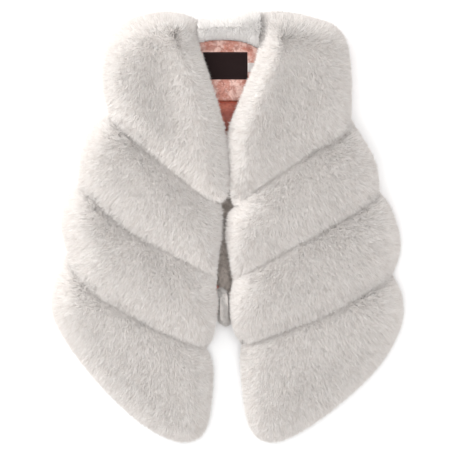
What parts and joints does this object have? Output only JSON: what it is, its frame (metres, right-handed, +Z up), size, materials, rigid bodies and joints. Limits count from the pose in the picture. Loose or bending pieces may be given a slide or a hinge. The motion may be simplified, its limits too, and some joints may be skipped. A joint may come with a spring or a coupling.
{
  "type": "faux fur vest",
  "caption": "Sleeveless faux fur vest laid flat, front up: puffed chevron fur strips, pointed front hems, open V neck with a standing fur collar and printed lining.",
  "frame": {"origin": "on the surface that the vest lies on, under the middle of its outline", "axes": "+Y from the hem points to the collar, +Z up out of the front, +X towards the wearer's left"},
  "size_m": [0.5361, 0.657, 0.0806],
  "materials": {
    "front_fur": "dense off-white faux fur, soft and matt, darker at the roots",
    "back_fur": "off-white faux fur, pressed flat",
    "collar_fur": "off-white faux fur, soft and matt",
    "facing_fur": "short grey-beige faux fur",
    "printed_lining": "satin with a small rose-brown print",
    "black_label": "black woven damask, bare",
    "white_tag": "white woven tape, bare"
  },
  "bodies": {
    "root": {"right_front_1": "front_fur", "right_front_2": "front_fur", "right_front_3": "front_fur", "right_front_4": "front_fur", "left_front_1": "front_fur", "left_front_2": "front_fur", "left_front_3": "front_fur", "left_front_4": "front_fur", "back_panel": "back_fur", "neck_collar": "collar_fur", "front_facing_high": "facing_fur", "front_facing_low": "facing_fur", "lining_yoke": "printed_lining", "lining_body": "printed_lining", "neck_label": "black_label", "size_tag": "white_tag"}
  },
  "joints": []
}
